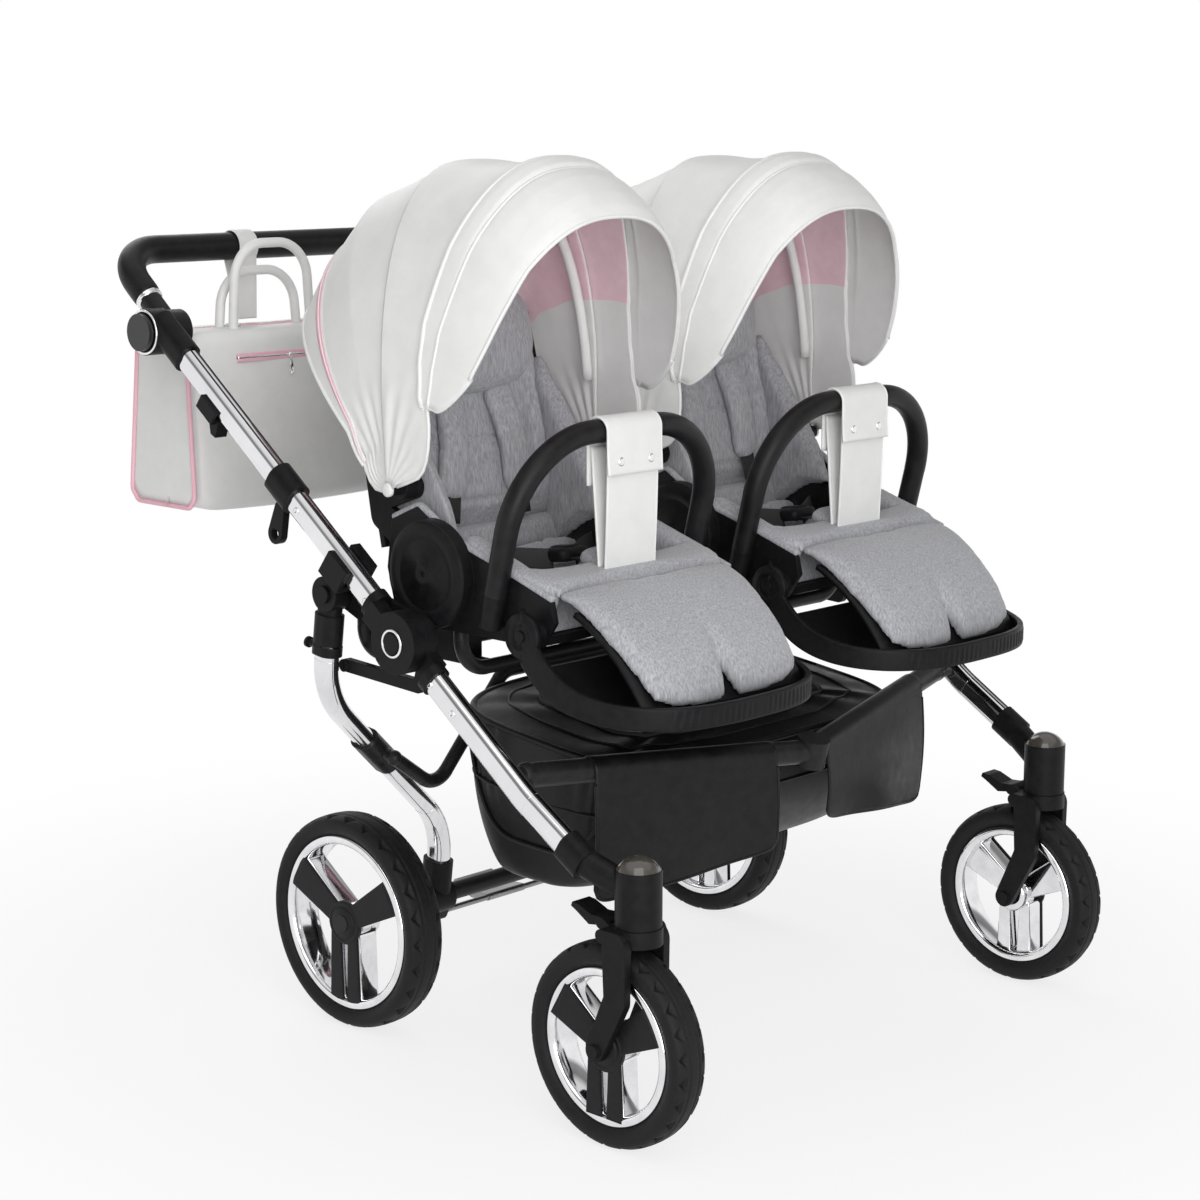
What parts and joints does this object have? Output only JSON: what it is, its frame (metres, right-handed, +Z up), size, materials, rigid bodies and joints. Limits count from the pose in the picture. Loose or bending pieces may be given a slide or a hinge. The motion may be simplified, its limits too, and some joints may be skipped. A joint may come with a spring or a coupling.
{
  "type": "twin pram",
  "caption": "Side-by-side twin pushchair with a folding tube chassis, reclining padded seats, hoods, bumper bars, swivel front wheels, shopping basket and changing bag.",
  "frame": {"origin": "on the ground under the middle of the part's box", "axes": "+Z up, front faces -Y, +X to the left as the pusher sees it"},
  "size_m": [0.9, 1.0601, 1.104],
  "materials": {
    "chrome_tube": "bright polished tube",
    "black_plastic": "satin moulded",
    "button_plastic": "satin with a bright ring",
    "smoke_cap": "smoky clear moulding",
    "black_tube": "black powder coat",
    "steel_rod": "black coated",
    "grip_leather": "stitched black leatherette",
    "rim_chrome": "bright plated moulding",
    "tyre": "black foam rubber",
    "white_leather": "soft white leatherette",
    "grey_jersey": "melange jersey",
    "cover_jersey": "light melange jersey",
    "webbing": "black woven belt",
    "black_leather": "soft black leatherette"
  },
  "bodies": {
    "chassis": {"lower_tubes": "chrome_tube", "hinge_bodies": "black_plastic", "leg_guides": "black_plastic", "front_brackets": "black_plastic", "swivel_caps": "smoke_cap", "seat_carriers": "black_tube", "seat_adaptors": "black_plastic", "front_bar": "black_tube", "basket": "black_leather", "basket_flaps": "black_leather", "seat_shells": "black_plastic", "seat_pads": "grey_jersey", "harnesses": "webbing"},
    "handle_frame": {"upper_tubes": "chrome_tube", "hinge_knuckles": "black_plastic", "hook_clamps": "black_plastic", "handle_sockets": "black_plastic"},
    "handle": {"handle_tube": "black_tube", "handle_grip": "grip_leather"},
    "rear_frame": {"rear_legs": "chrome_tube", "leg_sockets": "black_plastic", "axle_brackets": "black_plastic", "rear_axle": "steel_rod", "basket_hoop": "black_tube", "lock_studs": "black_plastic"},
    "brake": {"brake_shaft": "steel_rod"},
    "bag": {"bag": "white_leather", "bag_straps": "white_leather"},
    "trigger_left": {"fold_trigger_left": "black_plastic"},
    "button_left": {"handle_button_left": "button_plastic"},
    "rear_wheel_left": {"rear_tyre_left": "tyre", "rear_rim_left": "rim_chrome"},
    "caster_left": {"fork_left": "black_plastic"},
    "front_wheel_left": {"front_tyre_left": "tyre", "front_rim_left": "rim_chrome"},
    "lock_left": {"swivel_lock_left": "black_plastic"},
    "back_left": {"backrest_frame_left": "black_plastic", "backrest_pad_left": "grey_jersey", "canopy_rear_left": "white_leather"},
    "hood_left": {"canopy_front_left": "white_leather"},
    "bumper_left": {"bumper_bar_left": "grip_leather", "bumper_strap_left": "white_leather"},
    "foot_left": {"footrest_left": "black_plastic", "leg_cover_left": "cover_jersey"},
    "trigger_right": {"fold_trigger_right": "black_plastic"},
    "button_right": {"handle_button_right": "button_plastic"},
    "rear_wheel_right": {"rear_tyre_right": "tyre", "rear_rim_right": "rim_chrome"},
    "caster_right": {"fork_right": "black_plastic"},
    "front_wheel_right": {"front_tyre_right": "tyre", "front_rim_right": "rim_chrome"},
    "lock_right": {"swivel_lock_right": "black_plastic"},
    "back_right": {"backrest_frame_right": "black_plastic", "backrest_pad_right": "grey_jersey", "canopy_rear_right": "white_leather"},
    "hood_right": {"canopy_front_right": "white_leather"},
    "bumper_right": {"bumper_bar_right": "grip_leather", "bumper_strap_right": "white_leather"},
    "foot_right": {"footrest_right": "black_plastic", "leg_cover_right": "cover_jersey"}
  },
  "joints": [
    {"name": "fold", "type": "hinge", "parent": "chassis", "child": "handle_frame", "pos_m": [0, -0.087, 0.546], "axis": [1, 0, 0], "range_deg": [0, 135], "deforming": ["basket"]},
    {"name": "leg_fold", "type": "hinge", "parent": "chassis", "child": "rear_frame", "pos_m": [0, 0.046, 0.587], "axis": [1, 0, 0], "range_deg": [-27.5, 0], "deforming": ["basket"]},
    {"name": "handle_tilt", "type": "hinge", "parent": "handle_frame", "child": "handle", "pos_m": [0, 0.38809, 0.88611], "axis": [1, 0, 0], "range_deg": [0, 40]},
    {"name": "bag_swing", "type": "hinge", "parent": "handle", "child": "bag", "pos_m": [0, 0.50855, 0.98365], "axis": [1, 0, 0], "range_deg": [0, 122]},
    {"name": "brake_press", "type": "hinge", "parent": "rear_frame", "child": "brake", "pos_m": [0, 0.112, 0.114], "axis": [1, 0, 0], "range_deg": [-18, 0]},
    {"name": "trigger_left_pull", "type": "slide", "parent": "handle_frame", "child": "trigger_left", "axis": [0, 0.7948, 0.6069], "range_m": [0, 0.02], "stiffness_N_per_m": 300, "springref_m": -0.01},
    {"name": "button_left_press", "type": "slide", "parent": "handle_frame", "child": "button_left", "axis": [-1, 0, 0], "range_m": [0, 0.003], "stiffness_N_per_m": 800, "springref_m": -0.002},
    {"name": "rear_wheel_left_spin", "type": "hinge", "parent": "rear_frame", "child": "rear_wheel_left", "pos_m": [0.342, 0.106, 0.14], "axis": [1, 0, 0], "continuous": true},
    {"name": "caster_left_swivel", "type": "hinge", "parent": "chassis", "child": "caster_left", "pos_m": [0.4, -0.443, 0.268], "axis": [0, 0, 1], "continuous": true},
    {"name": "front_wheel_left_spin", "type": "hinge", "parent": "caster_left", "child": "front_wheel_left", "pos_m": [0.4, -0.409, 0.121], "axis": [1, 0, 0], "continuous": true},
    {"name": "lock_left_lift", "type": "hinge", "parent": "caster_left", "child": "lock_left", "pos_m": [0.4, -0.403, 0.267], "axis": [1, 0, 0], "range_deg": [0, 18]},
    {"name": "recline_left", "type": "hinge", "parent": "chassis", "child": "back_left", "pos_m": [0.22, -0.091, 0.623], "axis": [1, 0, 0], "range_deg": [-30, 0]},
    {"name": "hood_left_fold", "type": "hinge", "parent": "back_left", "child": "hood_left", "pos_m": [0.22, -0.036, 0.72], "axis": [1, 0, 0], "range_deg": [-45, 0]},
    {"name": "bumper_left_lift", "type": "slide", "parent": "chassis", "child": "bumper_left", "axis": [0, -0.2402, 0.9707], "range_m": [0, 0.03]},
    {"name": "footrest_left_tilt", "type": "hinge", "parent": "chassis", "child": "foot_left", "pos_m": [0.22, -0.262, 0.573], "axis": [1, 0, 0], "range_deg": [-25, 10], "deforming": ["leg_cover_left"]},
    {"name": "trigger_right_pull", "type": "slide", "parent": "handle_frame", "child": "trigger_right", "axis": [0, 0.7948, 0.6069], "range_m": [0, 0.02], "stiffness_N_per_m": 300, "springref_m": -0.01},
    {"name": "button_right_press", "type": "slide", "parent": "handle_frame", "child": "button_right", "axis": [1, 0, 0], "range_m": [0, 0.003], "stiffness_N_per_m": 800, "springref_m": -0.002},
    {"name": "rear_wheel_right_spin", "type": "hinge", "parent": "rear_frame", "child": "rear_wheel_right", "pos_m": [-0.342, 0.106, 0.14], "axis": [1, 0, 0], "continuous": true},
    {"name": "caster_right_swivel", "type": "hinge", "parent": "chassis", "child": "caster_right", "pos_m": [-0.4, -0.443, 0.268], "axis": [0, 0, 1], "continuous": true},
    {"name": "front_wheel_right_spin", "type": "hinge", "parent": "caster_right", "child": "front_wheel_right", "pos_m": [-0.4, -0.409, 0.121], "axis": [1, 0, 0], "continuous": true},
    {"name": "lock_right_lift", "type": "hinge", "parent": "caster_right", "child": "lock_right", "pos_m": [-0.4, -0.403, 0.267], "axis": [1, 0, 0], "range_deg": [0, 18]},
    {"name": "recline_right", "type": "hinge", "parent": "chassis", "child": "back_right", "pos_m": [-0.22, -0.091, 0.623], "axis": [1, 0, 0], "range_deg": [-30, 0]},
    {"name": "hood_right_fold", "type": "hinge", "parent": "back_right", "child": "hood_right", "pos_m": [-0.22, -0.036, 0.72], "axis": [1, 0, 0], "range_deg": [-45, 0]},
    {"name": "bumper_right_lift", "type": "slide", "parent": "chassis", "child": "bumper_right", "axis": [0, -0.2402, 0.9707], "range_m": [0, 0.03]},
    {"name": "footrest_right_tilt", "type": "hinge", "parent": "chassis", "child": "foot_right", "pos_m": [-0.22, -0.262, 0.573], "axis": [1, 0, 0], "range_deg": [-25, 10], "deforming": ["leg_cover_right"]}
  ],
  "couplings": [
    {"joint": "leg_fold", "follows": "fold", "ratio": -0.2},
    {"joint": "bag_swing", "follows": "fold", "ratio": 0.9}
  ]
}
